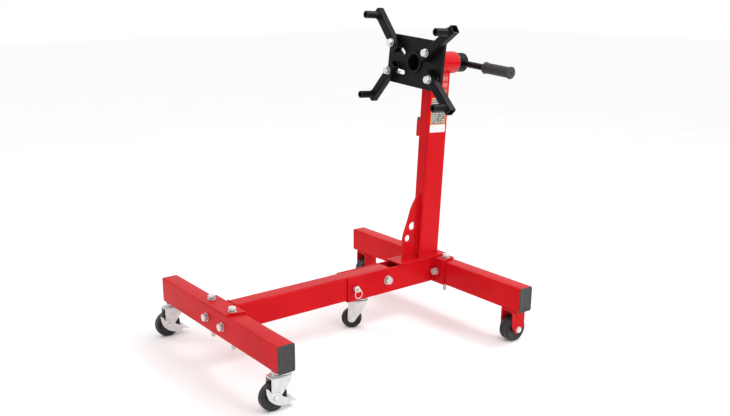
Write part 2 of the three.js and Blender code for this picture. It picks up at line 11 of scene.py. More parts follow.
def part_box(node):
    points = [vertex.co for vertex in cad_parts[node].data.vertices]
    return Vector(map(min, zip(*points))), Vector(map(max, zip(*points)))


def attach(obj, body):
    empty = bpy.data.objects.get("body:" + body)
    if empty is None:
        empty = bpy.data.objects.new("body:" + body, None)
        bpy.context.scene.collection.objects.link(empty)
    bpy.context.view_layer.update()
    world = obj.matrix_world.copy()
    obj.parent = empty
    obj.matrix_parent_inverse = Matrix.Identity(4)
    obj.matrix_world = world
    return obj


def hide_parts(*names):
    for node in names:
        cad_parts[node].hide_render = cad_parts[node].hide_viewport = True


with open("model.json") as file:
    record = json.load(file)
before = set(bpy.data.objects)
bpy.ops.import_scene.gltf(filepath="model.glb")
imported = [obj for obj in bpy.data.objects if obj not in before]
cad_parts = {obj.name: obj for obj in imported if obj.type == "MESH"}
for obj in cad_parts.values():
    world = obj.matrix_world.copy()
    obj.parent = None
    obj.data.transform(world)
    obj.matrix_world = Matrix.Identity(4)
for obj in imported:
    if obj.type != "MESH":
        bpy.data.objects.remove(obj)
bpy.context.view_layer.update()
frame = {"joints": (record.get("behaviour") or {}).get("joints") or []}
JOINTS = {j["name"]: j for j in frame["joints"]}
SIDES = (("left", -1), ("right", 1))
TAU = 2 * math.pi
GAP = 0.3  # mm, between parts and under every weld
EDGE_HIGHLIGHT_RADIUS = 0.0022  # m, how far the painted highlight along edges reaches


# ------------------------------------------------------------------ local frames
def at(point):
    return Matrix.Translation(Vector(point))


def turn(degrees, axis):
    return Matrix.Rotation(math.radians(degrees), 4, axis)


MM = Matrix.Scale(0.001, 4)
LEAN = math.degrees(math.asin(JOINTS["head_turn"]["axis"][2]))
ROLL = 4.0
STAND = at((0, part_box("front_crossbar")[0].y, 0)) @ MM
TILT = turn(-LEAN, "X")
HEAD = at(JOINTS["head_turn"]["pos_m"]) @ TILT @ MM
ROTOR = at(JOINTS["head_turn"]["pos_m"]) @ TILT @ turn(ROLL, "Y") @ MM
ARM_ANGLES = {"upper_left": 135.7, "upper_right": 39.5, "lower_left": 232.3, "lower_right": -39.4}


def caster_frame(swivel, spin):
    x, y, _ = JOINTS[swivel]["pos_m"]
    axis = JOINTS[spin]["axis"]
    return at((x, y, 0)) @ turn(math.degrees(math.atan2(axis[1], axis[0])), "Z") @ MM


# ------------------------------------------------------------------ materials
class Nodes:
    """A material under construction, with short names for the nodes it is made of."""

    def __init__(self, name):
        self.material = bpy.data.materials.new(name)
        self.material.use_nodes = True
        self.tree = self.material.node_tree
        self.bsdf = self.tree.nodes["Principled BSDF"]
        self.place = self.add("ShaderNodeTexCoord").outputs["Object"]

    def add(self, kind, settings=(), **inputs):
        node = self.tree.nodes.new(kind)
        for key, value in dict(settings).items():
            setattr(node, key, value)
        for key, value in inputs.items():
            socket = node.inputs[int(key[1:]) if key[1:].isdigit() else key.replace("_", " ")]
            if isinstance(value, bpy.types.NodeSocket):
                self.tree.links.new(value, socket)
            else:
                socket.default_value = value
        return node

    def noise(self, scale, detail=2.0, rough=0.5, vector=None):
        return self.add("ShaderNodeTexNoise", Vector=vector or self.place, Scale=scale, Detail=detail,
                        Roughness=rough).outputs["Fac"]

    def spread(self, value, low, high, to_low=0.0, to_high=1.0):
        return self.add("ShaderNodeMapRange", Value=value, From_Min=low, From_Max=high, To_Min=to_low,
                        To_Max=to_high).outputs["Result"]

    def math(self, operation, a, b=0.0):
        return self.add("ShaderNodeMath", {"operation": operation}, _0=a, _1=b).outputs[0]

    def mix(self, factor, a, b):
        node = self.add("ShaderNodeMix", {"data_type": "RGBA"}, _0=factor)
        for index, value in ((6, a), (7, b)):
            if isinstance(value, bpy.types.NodeSocket):
                self.tree.links.new(value, node.inputs[index])
            else:
                node.inputs[index].default_value = (*value, 1)
        return node.outputs[2]

    def bump(self, layers):
        """Stacks bumps given as (height, strength, distance in metres)."""
        normal = None
        for height, strength, distance in layers:
            node = self.add("ShaderNodeBump", Height=height, Strength=strength, Distance=distance)
            if normal:
                self.tree.links.new(normal, node.inputs["Normal"])
            normal = node.outputs["Normal"]
        self.tree.links.new(normal, self.bsdf.inputs["Normal"])

    def finish(self, color, roughness, **fixed):
        self.tree.links.new(color, self.bsdf.inputs["Base Color"])
        self.tree.links.new(roughness, self.bsdf.inputs["Roughness"])
        for key, value in fixed.items():
            self.bsdf.inputs[key.replace("_", " ")].default_value = value
        return self.material

    def edges(self, strength):
        """Mask for the painted edge highlight: strength along edges, 0 on flats: how far the rounded normal turns
        away from the real one.
        """
        rounded = self.add("ShaderNodeBevel", {"samples": 4}, Radius=EDGE_HIGHLIGHT_RADIUS).outputs["Normal"]
        normal = self.add("ShaderNodeNewGeometry").outputs["Normal"]
        agree = self.add("ShaderNodeVectorMath", {"operation": "DOT_PRODUCT"}, _0=rounded, _1=normal)
        return self.math("MULTIPLY", self.spread(agree.outputs["Value"], 0.97, 0.86), strength)


def red_paint():
    n = Nodes("red_paint")
    cloud = n.spread(n.noise(7, 4), 0.35, 0.65)
    base = n.mix(cloud, (0.50, 0.0035, 0.0075), (0.57, 0.0055, 0.0105))
    speck = n.spread(n.noise(600, 2, 0.6), 0.50, 0.75, 0, 0.30)
    base = n.mix(speck, base, (0.62, 0.016, 0.020))
    # painted highlight: every edge of the red paint is mixed towards a light red
    base = n.mix(n.edges(0.5), base, (0.84, 0.09, 0.08))
    rough = n.spread(n.noise(38, 3, 0.5), 0.3, 0.7, 0.30, 0.40)
    n.bump([(n.noise(60, 1), 0.03, 0.0004)])
    return n.finish(base, rough, Specular_IOR_Level=0.07, Specular_Tint=(1.0, 0.35, 0.32, 1.0),
                    Coat_Weight=0.08, Coat_Roughness=0.12)


def black_paint():
    n = Nodes("black_paint")
    cloud = n.spread(n.noise(18, 4), 0.35, 0.65)
    base = n.mix(cloud, (0.0045, 0.0043, 0.0050), (0.0085, 0.0080, 0.0092))
    scuff = n.spread(n.noise(230, 6, 0.7), 0.60, 0.78, 0, 0.5)
    base = n.mix(scuff, base, (0.022, 0.021, 0.023))
    # painted highlight: edges of the black paint are mixed towards grey
    base = n.mix(n.edges(0.6), base, (0.09, 0.09, 0.095))
    rough = n.spread(n.noise(60, 5, 0.6), 0.3, 0.7, 0.26, 0.46)
    n.bump([(n.noise(160, 3), 0.16, 0.0006), (n.noise(1100, 2), 0.2, 0.00012)])
    return n.finish(base, rough, Specular_IOR_Level=0.08)


def black_plastic():
    n = Nodes("black_plastic")
    base = n.mix(n.spread(n.noise(60, 5), 0.3, 0.7), (0.026, 0.027, 0.028), (0.040, 0.041, 0.042))
    # painted highlight: edges of the black plastic are mixed towards grey
    base = n.mix(n.edges(0.5), base, (0.10, 0.10, 0.10))
    rough = n.spread(n.noise(45, 4), 0.3, 0.7, 0.50, 0.66)
    grain = n.add("ShaderNodeTexVoronoi", Vector=n.place, Scale=1500).outputs["Distance"]
    n.bump([(grain, 0.35, 0.00012), (n.noise(70, 2), 0.1, 0.0005)])
    return n.finish(base, rough, Specular_IOR_Level=0.45)


def wheel_plastic():
    n = Nodes("wheel_plastic")
    base = n.mix(n.spread(n.noise(45, 5), 0.3, 0.7), (0.011, 0.0105, 0.0125), (0.021, 0.019, 0.022))
    dust = n.spread(n.noise(160, 7, 0.75), 0.56, 0.80, 0, 0.55)
    base = n.mix(dust, base, (0.085, 0.075, 0.068))
    rough = n.spread(n.noise(75, 5, 0.65), 0.3, 0.7, 0.22, 0.5)
    n.bump([(n.noise(85, 3), 0.14, 0.0008), (n.noise(900, 3), 0.25, 0.00015)])
    return n.finish(base, rough, Specular_IOR_Level=0.30)


def grip_rubber():
    n = Nodes("grip_rubber")
    base = n.mix(n.spread(n.noise(90, 5), 0.3, 0.7), (0.016, 0.0155, 0.016), (0.030, 0.029, 0.030))
    # painted highlight: edges of the grip rubber are mixed towards grey
    base = n.mix(n.edges(0.6), base, (0.075, 0.074, 0.076))
    rough = n.spread(n.noise(120, 4), 0.3, 0.7, 0.48, 0.66)
    n.bump([(n.noise(1300, 3), 0.3, 0.00015)])
    return n.finish(base, rough, Specular_IOR_Level=0.45, Sheen_Weight=0.08)


def zinc_plate():
    n = Nodes("zinc_plate")
    tint = n.mix(n.spread(n.noise(55, 4), 0.35, 0.65), (0.60, 0.61, 0.62), (0.70, 0.70, 0.69))
    tint = n.mix(n.spread(n.noise(400, 4, 0.6), 0.55, 0.8, 0, 0.10), tint, (0.50, 0.49, 0.47))
    # painted highlight: edges of the zinc are mixed towards near white
    tint = n.mix(n.edges(0.5), tint, (0.92, 0.91, 0.88))
    rough = n.spread(n.noise(40, 3, 0.5), 0.3, 0.7, 0.28, 0.36)
    n.bump([(n.noise(90, 1), 0.03, 0.0003)])
    return n.finish(tint, rough, Metallic=0.45)


def bare_steel(name, low, high, roughness):
    n = Nodes(name)
    base = n.mix(n.spread(n.noise(90, 5), 0.3, 0.7), low, high)
    base = n.mix(n.spread(n.noise(500, 6, 0.7), 0.55, 0.8, 0, 0.4), base, [c * 0.45 for c in low])
    n.bump([(n.noise(700, 3), 0.15, 0.0001)])
    return n.finish(base, n.spread(n.noise(120, 4), 0.3, 0.7, roughness, roughness + 0.18), Metallic=0.85)


def printed(name, border, ground, ink, rows):
    """A printed sticker: a border, and rows of plain broken bars. It carries no lettering."""
    n = Nodes(name)
    uv = n.add("ShaderNodeTexCoord").outputs["UV"]
    split = n.add("ShaderNodeSeparateXYZ", Vector=uv)
    u, v = split.outputs[0], split.outputs[1]
    row = n.math("FLOOR", n.math("MULTIPLY", v, rows))
    inside_row = n.math("LESS_THAN", n.math("FRACT", n.math("MULTIPLY", v, rows)), 0.62)
    cell = n.add("ShaderNodeCombineXYZ", X=n.math("MULTIPLY", u, 5.0), Y=n.math("MULTIPLY", row, 3.7), Z=0.5)
    word = n.math("GREATER_THAN", n.noise(2.2, 3, 0.7, cell.outputs[0]), 0.44)
    bars = n.math("MULTIPLY", inside_row, word)
    smudge = n.spread(n.noise(300, 4), 0.4, 0.7, 0, 0.25)
    field = n.mix(bars, n.mix(smudge, ground, [c * 0.86 for c in ground]), ink)
    edge_u = n.math("GREATER_THAN", n.math("ABSOLUTE", n.math("SUBTRACT", u, 0.5)), 0.455)
    edge_v = n.math("GREATER_THAN", n.math("ABSOLUTE", n.math("SUBTRACT", v, 0.5)), 0.475)
    color = n.mix(n.math("MAXIMUM", edge_u, edge_v), field, border)
    rough = n.spread(n.noise(90, 3), 0.3, 0.7, 0.30, 0.45)
    n.bump([(n.noise(500, 2), 0.1, 0.0001)])
    return n.finish(color, rough, Specular_IOR_Level=0.5)


def floor_surface():
    n = Nodes("pale_floor")
    base = n.mix(n.spread(n.noise(3, 5), 0.3, 0.7), (0.955, 0.955, 0.955), (0.975, 0.975, 0.975))
    n.bump([(n.noise(60, 3), 0.05, 0.001)])
    return n.finish(base, n.spread(n.noise(12, 3), 0.3, 0.7, 0.75, 0.9), Specular_IOR_Level=0.2)


RED, BLACK, ZINC = red_paint(), black_paint(), zinc_plate()
PLASTIC, WHEEL, RUBBER = black_plastic(), wheel_plastic(), grip_rubber()
EDGE_STEEL = bare_steel("bare_edge", (0.40, 0.39, 0.38), (0.55, 0.54, 0.52), 0.28)
SPRING_STEEL = bare_steel("blackened_washer", (0.030, 0.030, 0.032), (0.055, 0.053, 0.052), 0.30)


# ------------------------------------------------------------------ mesh helpers
CORNER_STEPS, SLOT_STEPS, HEX_POINTS = 5, 12, 72


def spot(axis, u, v, w):
    """Plane coordinates (u, v) and height w along an axis: (y, z) for x, (x, z) for y, (x, y) for z."""
    return {"x": (w, u, v), "y": (u, w, v), "z": (u, v, w)}[axis]


def loft(bm, rings, loop=False):
    """Skins equal rings of points in order; loop joins the last to the first, else both are capped."""
    rows = [[bm.verts.new(p) for p in ring] for ring in rings]
    pairs = list(zip(rows, rows[1:])) + ([(rows[-1], rows[0])] if loop else [])
    for a, b in pairs:
        for i in range(len(a)):
            k = (i + 1) % len(a)
            bm.faces.new((a[i], a[k], b[k], b[i]))
    if not loop:
        bm.faces.new(rows[0])
        bm.faces.new(rows[-1])


def circle(radius, count=48, u=0.0, v=0.0):
    angles = [TAU * i / count for i in range(count)]
    return [(u + radius * math.cos(a), v + radius * math.sin(a)) for a in angles]


def lathe(bm, profile, axis, count=48, centre=(0.0, 0.0)):
    """Turns (radius, height) points about an axis. A profile whose ends are off the axis is a closed ring."""
    ring = [p for p in profile if p[0] > 1e-6]
    rings = [[spot(axis, u, v, h) for u, v in circle(r, count, *centre)] for r, h in ring]
    loft(bm, rings, loop=len(ring) == len(profile))


def rounded_rect(width, height, radius, steps=6, divide=1):
    """Corner arcs joined by sides that are cut into equal parts."""
    points = []
    corners = ((1, 1, 0), (-1, 1, 90), (-1, -1, 180), (1, -1, 270))
    for su, sv, start in corners:
        cu, cv = su * (width / 2 - radius), sv * (height / 2 - radius)
        for i in range(steps + 1):
            a = math.radians(start + 90 * i / steps)
            points.append((cu + radius * math.cos(a), cv + radius * math.sin(a)))
    if divide == 1:
        return points
    filled = []
    for i, p in enumerate(points):
        filled.append(p)
        q = points[(i + 1) % len(points)]
        if i % (steps + 1) == steps:
            shares = [k / divide for k in range(1, divide)]
            filled += [(p[0] + (q[0] - p[0]) * t, p[1] + (q[1] - p[1]) * t) for t in shares]
    return filled


def bend_point(start, corner, end, t):
    return tuple(start * (1 - t) ** 2 + corner * 2 * t * (1 - t) + end * t * t)


def round_corners(points, radius):
    """Replaces each corner of a closed outline by a short curve."""
    out = []
    for i, p in enumerate(points):
        here, before, after = Vector(p), Vector(points[i - 1]), Vector(points[(i + 1) % len(points)])
        reach = min(radius, (before - here).length * 0.45, (after - here).length * 0.45)
        start, end = here + (before - here).normalized() * reach, here + (after - here).normalized() * reach
        out += [bend_point(start, here, end, k / CORNER_STEPS) for k in range(CORNER_STEPS + 1)]
    return out


def curve_point(a, b, c, d, t):
    """The place at t from b to c on the Catmull-Rom curve through four points."""
    return tuple(0.5 * (2 * b + (c - a) * t + (2 * a - 5 * b + 4 * c - d) * t * t
                        + (3 * b - a - 3 * c + d) * t ** 3))


def smooth_outline(points, steps):
    """A closed curve through the points."""
    out, count = [], len(points)
    for i in range(count):
        a, b, c, d = (Vector(points[(i + k) % count]) for k in (-1, 0, 1, 2))
        out += [curve_point(a, b, c, d, k / steps) for k in range(steps)]
    return out


def slot_outline(u0, v0, u1, v1, half):
    """A slot between two centres, with round ends."""
    angle = math.atan2(v1 - v0, u1 - u0)
    outline = []
    for u, v, start in ((u0, v0, angle + math.pi / 2), (u1, v1, angle - math.pi / 2)):
        turns = [start + math.pi * i / SLOT_STEPS for i in range(SLOT_STEPS + 1)]
        outline += [(u + half * math.cos(a), v + half * math.sin(a)) for a in turns]
    return outline


def plate(bm, outline, axis, lo, hi, holes=()):
    """A flat plate with holes, between two heights along an axis."""
    edges = []
    for points in (outline, *holes):
        verts = [bm.verts.new(spot(axis, u, v, lo)) for u, v in points]
        edges += [bm.edges.new((a, b)) for a, b in zip(verts, verts[1:] + verts[:1])]
    made = bmesh.ops.triangle_fill(bm, use_beauty=True, use_dissolve=False, edges=edges)["geom"]
    faces = [g for g in made if isinstance(g, bmesh.types.BMFace)]
    raised = bmesh.ops.extrude_face_region(bm, geom=faces, use_keep_orig=True)["geom"]
    shift = Vector(spot(axis, 0, 0, hi - lo))
    bmesh.ops.translate(bm, vec=shift, verts=[g for g in raised if isinstance(g, bmesh.types.BMVert)])


def tube(bm, outer, inner, axis, lo, hi):
    """A hollow bar between two heights, which may be functions of the place on the outline."""
    low = lo if callable(lo) else lambda u, v: lo
    high = hi if callable(hi) else lambda u, v: hi
    rings = [[spot(axis, u, v, end(u, v)) for u, v in points]
             for points, end in ((outer, low), (outer, high), (inner, high), (inner, low))]
    loft(bm, rings, loop=True)


def sweep(bm, path, radius, count=10, closed=False):
    """A round bar along a path; radius is a function of the distance run."""
    points = [Vector(p) for p in path]
    rings, run, side = [], 0.0, None
    for i, p in enumerate(points):
        ahead = points[(i + 1) % len(points)] if closed or i + 1 < len(points) else p
        behind = points[i - 1] if closed or i else p
        along = (ahead - behind).normalized()
        side = side or along.orthogonal()
        side = (side - along * side.dot(along)).normalized()
        other = along.cross(side)
        run += (p - points[i - 1]).length if i else 0.0
        r = radius(run)
        rings.append([p + side * r * math.cos(TAU * k / count) + other * r * math.sin(TAU * k / count)
                      for k in range(count)])
    loft(bm, rings, loop=closed)


def piece(name, bm, place, body, material, nodes=(), bevel=0.0, angle=38, second=None):
    """Finishes a mesh, puts it in the row frame and lets it ride on its body in place of its CAD nodes."""
    bmesh.ops.recalc_face_normals(bm, faces=bm.faces)
    bm.transform(place)
    mesh = bpy.data.meshes.new(name)
    bm.to_mesh(mesh)
    bm.free()
    obj = bpy.data.objects.new(name, mesh)
    bpy.context.scene.collection.objects.link(obj)
    mesh.materials.append(material)
    if second:
        mesh.materials.append(second)
    mesh.shade_smooth()
    mesh.set_sharp_from_angle(angle=math.radians(angle))
    if bevel:
        edge = obj.modifiers.new("edge", "BEVEL")
        edge.width, edge.segments, edge.limit_method = bevel / 1000, 3, "ANGLE"
        edge.angle_limit = math.radians(angle)
        obj.modifiers.new("normals", "WEIGHTED_NORMAL").keep_sharp = True
    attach(obj, body)
    if nodes:
        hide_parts(*nodes)
    return obj


def drill(obj, place, radius, start, end, centre, angle, count=48):
    """Cuts a round hole along X through a piece, before its other modifiers act."""
    bm = bmesh.new()
    lathe(bm, [(0, start), (radius, start), (radius, end), (0, end)], "x", count, centre)
    bm.transform(place)
    bmesh.ops.recalc_face_normals(bm, faces=bm.faces)
    mesh = bpy.data.meshes.new("hole")
    bm.to_mesh(mesh)
    bm.free()
    cutter = bpy.data.objects.new("hole", mesh)
    bpy.context.scene.collection.objects.link(cutter)
    others = list(obj.modifiers)
    for modifier in others:
        modifier.show_viewport = False
    hole = obj.modifiers.new("hole", "BOOLEAN")
    hole.operation, hole.object, hole.solver = "DIFFERENCE", cutter, "EXACT"
    bpy.context.view_layer.update()
    cut = bpy.data.meshes.new_from_object(obj.evaluated_get(bpy.context.evaluated_depsgraph_get()))
    obj.modifiers.remove(hole)
    for modifier in others:
        modifier.show_viewport = True
    obj.data = cut
    cut.shade_smooth()
    cut.set_sharp_from_angle(angle=math.radians(angle))
    bpy.data.objects.remove(cutter)


def weld(name, path, place, body, material=RED, radius=2.6, closed=False):
    """A weld bead: a bar whose thickness rises and falls with each drop of metal."""
    fine = []
    corners = [Vector(p) for p in path] + ([Vector(path[0])] if closed else [])
    for a, b in zip(corners, corners[1:]):
        steps = max(1, round((b - a).length))
        fine += [a.lerp(b, k / steps) for k in range(steps)]
    if not closed:
        fine.append(corners[-1])

    def thickness(run):
        drop = abs(math.sin(run * math.pi / 3.4))
        return radius * (0.80 + 0.20 * drop + 0.07 * math.sin(run * 0.37) + 0.05 * math.sin(run * 0.91))

    bm = bmesh.new()
    sweep(bm, fine, thickness, closed=closed)
    piece(name, bm, place, body, material, angle=80)


# ------------------------------------------------------------------ bolts
def hex_radius(radius, angle, phase):
    sector = (angle - phase) % (TAU / 6) - TAU / 12
    return radius * math.cos(TAU / 12) / math.cos(sector)


def hex_block(bm, radius, phase, lo, hi, domed_low, domed_high):
    """A hexagon whose corners are cut back by a cone at either end."""
    flat, slope = radius * 0.86, 1.75
    rings = []
    steps = [0, 0.25, 0.6, 1.0, 1.5]
    heights = [lo + s for s in steps] + [hi - s for s in reversed(steps)]
    for h in heights:
        cone = radius
        if domed_low:
            cone = min(cone, flat + (h - lo) * slope)
        if domed_high:
            cone = min(cone, flat + (hi - h) * slope)
        ring = []
        for i in range(HEX_POINTS):
            a = TAU * i / HEX_POINTS
            r = min(hex_radius(radius, a, phase), cone)
            ring.append((r * math.cos(a), r * math.sin(a), h))
        rings.append(ring)
    loft(bm, rings)


HEAD_RISE, NUT_HEIGHT, PITCH = 12.0, 11.0, 1.4
FLAT_TOP, SPRING_TOP = GAP + 2, GAP + 4.6


def bolt(name, place, body, node, grip, length=0.0, shank=6.0, head=10.97, washer=12.0):
    """Hex bolt with flat and spring washer: the head side faces local +Z at 0, the nut lies below -grip."""
    length = length or grip + 16
    bm = bmesh.new()
    hex_block(bm, head, 0.26, SPRING_TOP, HEAD_RISE, False, True)
    lathe(bm, [(shank, GAP), (washer - 0.5, GAP), (washer, GAP + 0.4), (washer, FLAT_TOP - 0.4),
               (washer - 0.4, FLAT_TOP), (shank, FLAT_TOP)], "z", 56)
    hex_block(bm, head, 0.1, -grip - GAP - NUT_HEIGHT, -grip - GAP, True, True)
    root = shank - 0.7
    thread = [(0, -length), (shank - 1.3, -length), (root, 0.7 - length)]
    for i in range(int((length - grip) / PITCH)):
        h = 0.9 - length + i * PITCH
        thread += [(root, h), (shank, h + 0.45), (shank, h + 0.8)]
    thread += [(shank, 3.0), (0, 3.0)]
    lathe(bm, thread, "z", 32)
    bright = len(bm.faces)
    ring = head - 1.6
    lathe(bm, [(shank, FLAT_TOP), (ring - 0.3, FLAT_TOP), (ring, FLAT_TOP + 0.3), (ring, SPRING_TOP - 0.3),
               (ring - 0.3, SPRING_TOP), (shank, SPRING_TOP)], "z", 48)
    bm.faces.ensure_lookup_table()
    for face in bm.faces[bright:]:
        face.material_index = 1
    piece(name, bm, place, body, ZINC, [node], angle=28, second=SPRING_STEEL)


# ------------------------------------------------------------------ crossbars, caps, saddles and their bolts
TUBE_W, TUBE_H, WALL, CORNER = 50.0, 75.0, 3.0, 5.0
BAR_Z = 137.5
FLANGE_TOP, BAR_LOW, STEEL = 180.3, 100.0, 5.0
SADDLE_DEPTH = STEEL + GAP + TUBE_W
UPRIGHT_BOLT = 110.0


def crossbar(end, body):
    low, high = (v * 1000 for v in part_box(f"{end}_crossbar"))
    place = at((0, low.y / 1000, 0)) @ MM @ at((0, TUBE_W / 2, BAR_Z))
    bm = bmesh.new()
    outer = rounded_rect(TUBE_W, TUBE_H, CORNER)
    inner = rounded_rect(TUBE_W - 2 * WALL, TUBE_H - 2 * WALL, CORNER - WALL)
    tube(bm, outer, inner, "x", low.x, high.x)
    piece(f"{end}_crossbar_tube", bm, place, body, RED, [f"{end}_crossbar"], angle=60)
    for label, side in SIDES:
        tip = max(abs(v.x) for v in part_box(f"{end}_cap_{label}")) * 1000
        bm = bmesh.new()
        rings = []
        for inset, depth in ((0.25, 3.5), (0.0, 3.0), (0.0, 1.6), (0.35, 0.7), (1.1, 0.15), (2.2, 0.0),
                             (5.2, 0.0), (6.0, 0.6), (14.0, 0.75)):
            width, height = (size - 0.6 - 2 * inset for size in (TUBE_W, TUBE_H))
            shape = rounded_rect(width, height, max(CORNER - inset * 0.3, 1.5))
            rings.append([(side * (tip - depth), u, v) for u, v in shape])
        loft(bm, rings)
        plug = rounded_rect(TUBE_W - 2 * WALL - 0.8, TUBE_H - 2 * WALL - 0.8, 3.0)
        loft(bm, [[(side * x, u, v) for u, v in plug] for x in (tip - 15, tip - 3.2)])
        piece(f"{end}_cap_{label}_moulding", bm, place, body, PLASTIC, [f"{end}_cap_{label}"], angle=50)


def saddle(end, body, facing):
    """Angle plate: a web against the crossbar's inner face and a tapered flange over its top."""
    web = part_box(f"{end}_saddle")[1 if facing < 0 else 0].y
    place = at((0, web, 0)) @ turn(180 if facing < 0 else 0, "Z") @ MM
    reach = 5.5
    corner = Vector((0, FLANGE_TOP))
    bend = [bend_point(corner + Vector((reach, 0)), corner, corner - Vector((0, reach)), k / 6) for k in range(7)]
    outline = [(0, BAR_LOW), (STEEL, BAR_LOW), (STEEL, FLANGE_TOP - STEEL),
               (SADDLE_DEPTH, FLANGE_TOP - STEEL), (SADDLE_DEPTH, FLANGE_TOP), *bend]
    half = [80 - 11 * max(0.0, (depth - 7) / (SADDLE_DEPTH - 7)) for depth, _ in outline]
    bm = bmesh.new()
    columns = (-1, -0.6, -0.2, 0.2, 0.6, 1)
    loft(bm, [[(c * h, depth, z) for (depth, z), h in zip(outline, half)] for c in columns])
    piece(f"{end}_saddle_plate", bm, place, body, RED, [f"{end}_saddle"], bevel=0.7, angle=30)


def bar_assembly(end, body, facing):
    crossbar(end, body)
    saddle(end, body, facing)
    kinds = (("upright", FLANGE_TOP - BAR_LOW, UPRIGHT_BOLT), ("level", SADDLE_DEPTH, 0.0))
    for label, side in SIDES:
        for kind, grip, length in kinds:
            node = f"{end}_{kind}_bolt_{label}"
            low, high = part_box(node)
            middle = (low + high) / 2
            if kind == "upright":
                place = at((middle.x, middle.y, high.z - HEAD_RISE / 1000)) @ turn(23 * side, "Z") @ MM
            else:
                place = at((middle.x, low.y + HEAD_RISE / 1000, middle.z)) @ turn(90, "X") @ MM
            bolt(f"{node}_hex", place, body, node, grip, length)


bar_assembly("front", "front_leg", -1)
bar_assembly("rear", "frame", 1)

# ------------------------------------------------------------------ beam, channel and top plate
PIVOT_Y, PIVOT_Z, BEAM_TOP, REAR_FACE = 584.0, 142.5, 180.0, 776.0
LOCK_Y, BEAM_HOLE, SLEEVE_HOLE = 457.0, 6.5, 6.4


def beam():
    start = TUBE_W + 2 * GAP + STEEL
    outer = rounded_rect(TUBE_W, TUBE_H, CORNER, divide=24)
    inner = rounded_rect(TUBE_W - 2 * WALL, TUBE_H - 2 * WALL, CORNER - WALL, divide=24)
    bm = bmesh.new()

    def end(u, v):
        return PIVOT_Y + math.sqrt(max(0.0, (TUBE_H / 2) ** 2 - v * v))

    tube(bm, outer, inner, "y", start, end)
    place = STAND @ at((0, 0, PIVOT_Z))
    obj = piece("front_beam_tube", bm, place, "front_leg", RED, ["front_beam"], angle=60)
    drill(obj, STAND, BEAM_HOLE, 0, 40, (LOCK_Y, PIVOT_Z), 60)
    square = ((-23, -37), (-25, -33), (-25, 33), (-23, 37), (23, 37), (25, 33), (25, -33), (23, -37))
    weld("front_beam_weld", [(x, start + 1, PIVOT_Z + z) for x, z in square], STAND, "front_leg", closed=True,
         radius=2.8)


def channel():
    half, wall, low = 30.0, 3.8, 100.5
    corners = [(-half, BEAM_TOP), (-half, low), (half, low), (half, BEAM_TOP)]
    inner, base = half - wall, low + 4
    inside = [(inner, BEAM_TOP), (inner, base), (-inner, base), (-inner, BEAM_TOP)]
    outer = round_corners(corners, 6.0)
    outline = [corners[0]] + outer[6:18] + [corners[3]] + inside
    bm = bmesh.new()
    start, end = 433.0, REAR_FACE - STEEL - 2 * GAP
    plate(bm, outline, "y", start, end)
    obj = piece("sleeve_channel_bent", bm, STAND, "frame", RED, ["sleeve_channel"], bevel=0.6, angle=40)
    drill(obj, STAND, SLEEVE_HOLE, 0, 40, (LOCK_Y, PIVOT_Z), 40, count=20)
    for label, side in SIDES:
        seam = [(side * (half + 0.6), end - 0.5, z) for z in (base, 174)]
        weld(f"sleeve_weld_{label}", seam, STAND, "frame", radius=2.8)


beam()
channel()

bm = bmesh.new()
plate(bm, round_corners([(-33, 632), (33, 632), (33, 826), (-33, 826)], 3), "z", 180.6, 185.6)
piece("top_plate_steel", bm, STAND, "frame", RED, ["top_plate"], bevel=0.8)
for label, side in SIDES:
    seam = [(side * 31, y, 180.4) for y in (636, 768)]
    weld(f"top_plate_weld_{label}", seam, STAND, "frame", radius=2.0)

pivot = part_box("pivot_bolt")
pivot_head = at((pivot[1].x - HEAD_RISE / 1000, *((pivot[0] + pivot[1]) / 2).yz)) @ turn(90, "Y") @ MM
bolt("pivot_bolt_hex", pivot_head, "frame", "pivot_bolt", 60, shank=6.7, head=12.5, washer=14)

# ------------------------------------------------------------------ post, gusset and head housing
POST_W, POST_D, HOUSING_R, HOUSING_BACK = 40.0, 80.0, 33.0, 66.0
COPE_R = HOUSING_R + 2 * GAP
HEAD_AT = Vector(JOINTS["head_turn"]["pos_m"]) * 1000
FOOT_Z, POST_FRONT, GUSSET_TOP = 185.9, 721 - GAP, 392


def foot_height(y):
    """Local height at which the leaning post meets the level top plate."""
    lean = math.radians(LEAN)
    return (FOOT_Z - HEAD_AT.z + math.sin(lean) * y) / math.cos(lean)


def post():
    outer = rounded_rect(POST_W, POST_D, CORNER, divide=16)
    inner = rounded_rect(POST_W - 2 * WALL, POST_D - 2 * WALL, CORNER - WALL, divide=16)
    bm = bmesh.new()
    tube(bm, outer, inner, "z", lambda x, y: foot_height(y), lambda x, y: -math.sqrt(COPE_R ** 2 - x * x))
    piece("post_tube", bm, HEAD, "frame", RED, ["post"], angle=60)
    ring = rounded_rect(POST_W + 1, POST_D + 1, CORNER)
    weld("post_foot_weld", [(x, y, foot_height(y) + 1.0) for x, y in ring], HEAD, "frame", closed=True)
    ring = rounded_rect(POST_W + 0.6, POST_D + 0.6, CORNER, divide=10)
    seam = [(x, y, -math.sqrt((HOUSING_R + 0.6) ** 2 - x * x)) for x, y in ring]
    weld("post_head_weld", seam, HEAD, "frame", closed=True)


